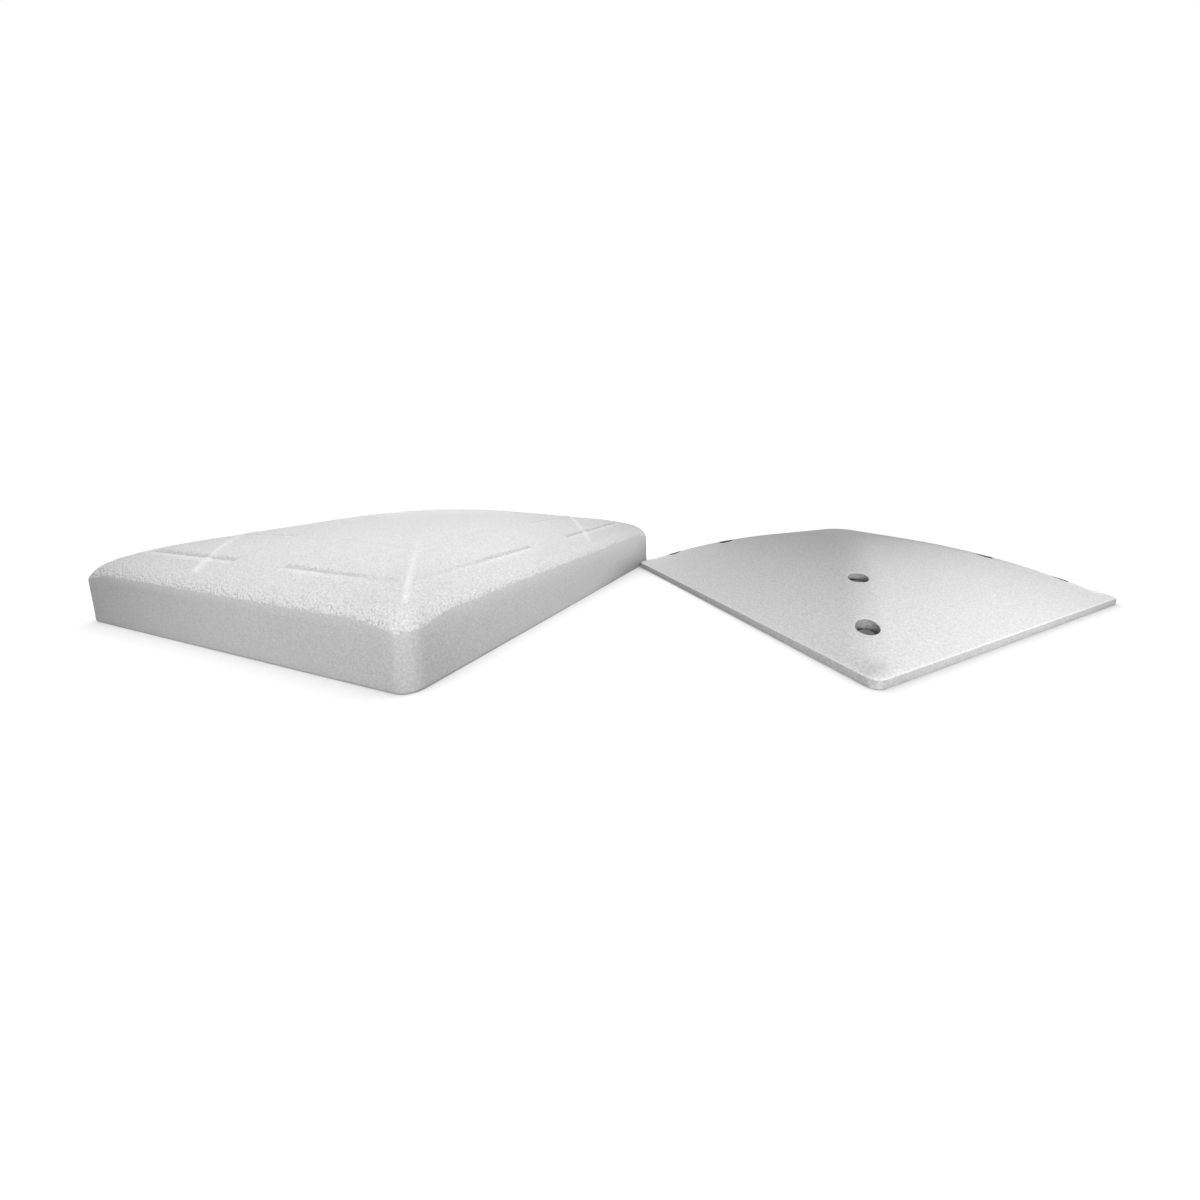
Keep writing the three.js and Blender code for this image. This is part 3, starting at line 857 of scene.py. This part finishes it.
def floor():
    """Large pale square that the pieces stand on, a hair below them.

    The camera sees it glowing white, with a painted shadow where the pieces stand close above it.
    """
    reach, depth = 6.0, -0.0002
    mesh = bpy.data.meshes.new("floor")
    signs = ((-1, -1), (1, -1), (1, 1), (-1, 1))
    mesh.from_pydata([(reach * sx, reach * sy, depth) for sx, sy in signs], [], [(0, 1, 2, 3)])
    paint, tree = new_material("floor_paint")
    path = add(tree, "ShaderNodeLightPath")
    matt = add(tree, "ShaderNodeBsdfDiffuse", {"Color": linear("#B4B4B4")})
    faint = add(tree, "ShaderNodeBsdfDiffuse", {"Color": linear("#9C9C9C")})
    # Painted shadow: the floor's glow dims by ambient occlusion close to the pieces
    open_sky = add(tree, "ShaderNodeAmbientOcclusion", {"Distance": 0.06}, samples=8)
    level = add(tree, "ShaderNodeMath", {0: (open_sky, "AO"), 1: FLOOR_WHITE}, operation="MULTIPLY")
    glow = add(tree, "ShaderNodeEmission", {"Color": linear("#FFFFFF"), "Strength": (level, "Value")})
    shadowed = add(tree, "ShaderNodeAddShader", {0: (faint, "BSDF"), 1: (glow, "Emission")})
    seen = add(tree, "ShaderNodeMath", {0: (path, "Is Camera Ray"), 1: (path, "Is Glossy Ray")},
               operation="MAXIMUM")
    shown = add(tree, "ShaderNodeMixShader", {0: (seen, "Value"), 1: (matt, "BSDF"),
                                              2: (shadowed, "Shader")})
    add(tree, "ShaderNodeOutputMaterial", {"Surface": (shown, "Shader")})
    mesh.materials.append(paint)
    made = bpy.data.objects.new("floor", mesh)
    bpy.context.scene.collection.objects.link(made)


def light(name, place, aim, width, height, watts, spread):
    """Soft rectangular lamp at a place, aimed at a point, in metres; spread narrows its beam."""
    lamp = bpy.data.lights.new(name, "AREA")
    lamp.shape = "RECTANGLE"
    lamp.size = width
    lamp.size_y = height
    lamp.energy = watts
    lamp.spread = math.radians(spread)
    made = bpy.data.objects.new(name, lamp)
    made.location = place
    step = np.array(aim) - np.array(place)
    made.rotation_euler = (math.atan2(math.hypot(step[0], step[1]), -step[2]), 0.0,
                           math.atan2(step[1], step[0]) - math.pi / 2)
    made.visible_camera = False
    bpy.context.scene.collection.objects.link(made)


def studio():
    """Surround that the camera sees as white, a soft lamp over the cover, and low lamps round both pieces.

    The low lamps graze the domes, which shows their slopes and leaves the crown of the plate in half shade.
    """
    world = bpy.data.worlds.new("surround")
    world.use_nodes = True
    tree = world.node_tree
    tree.nodes.clear()
    path = add(tree, "ShaderNodeLightPath")
    seen = add(tree, "ShaderNodeMath", {0: (path, "Is Camera Ray"), 1: (path, "Is Glossy Ray")},
               operation="MAXIMUM")
    dim = add(tree, "ShaderNodeBackground", {"Color": linear("#FFFFFF"), "Strength": SURROUND_STRENGTH})
    white = add(tree, "ShaderNodeBackground", {"Color": linear("#FFFFFF"), "Strength": 1.0})
    mix = add(tree, "ShaderNodeMixShader", {0: (seen, "Value"), 1: (dim, "Background"),
                                            2: (white, "Background")})
    add(tree, "ShaderNodeOutputWorld", {"Surface": (mix, "Shader")})
    bpy.context.scene.world = world
    for name, lamp in LAMPS.items():
        light(name, *lamp)


def camera():
    """Wide camera, held low in front; the lens is shifted to the photograph's framing."""
    made = bpy.data.objects.new("camera", bpy.data.cameras.new("camera"))
    made.data.sensor_width = SENSOR_WIDTH
    made.data.lens = FOCAL_PIXELS / FRAME_PIXELS * SENSOR_WIDTH
    made.data.shift_x = (FRAME_PIXELS / 2 - CENTRE_PIXEL[0]) / FRAME_PIXELS
    made.data.shift_y = (CENTRE_PIXEL[1] - FRAME_PIXELS / 2) / FRAME_PIXELS
    made.data.clip_start = 0.01
    made.location = [c * MM for c in CAMERA_PLACE]
    made.rotation_euler = (math.radians(90 - CAMERA_PITCH), 0.0, 0.0)
    bpy.context.scene.collection.objects.link(made)
    bpy.context.scene.camera = made


bpy.context.scene.view_settings.view_transform = "Standard"
camera()
studio()
floor()

cover_skin(moulded_white_rubber())
ground_plate(moulded_polymer())
plug_carrier(flecked("carrier_plastic", "#B9BBBB", "#C9CBCB", 4.0, 0.55))
impact_foam(flecked("grey_foam", "#8E8F8B", "#A3A4A0", 1.5, 0.95))
plug_rubber = flecked("plug_rubber", "#3A3C3E", "#4A4C4E", 3.0, 0.75)
plug_nodes = [f"release_plug_{row}_{i}" for row in ("inner", "outer") for i in range(1, 5)]
for plug in plug_nodes:
    release_plug(plug, plug_rubber)
zinc = flecked("zinc_plate", "#A3A6AA", "#BEC1C4", 6.0, 0.38, 1.0)
finish_nodes(zinc, "anchor_socket", *[f"anchor_bolt_{i}" for i in range(1, 5)])
finish_nodes(flecked("insert_brass", "#A58244", "#BA9852", 3.0, 0.35, 1.0),
             *[f"threaded_insert_{i}" for i in range(1, 5)])
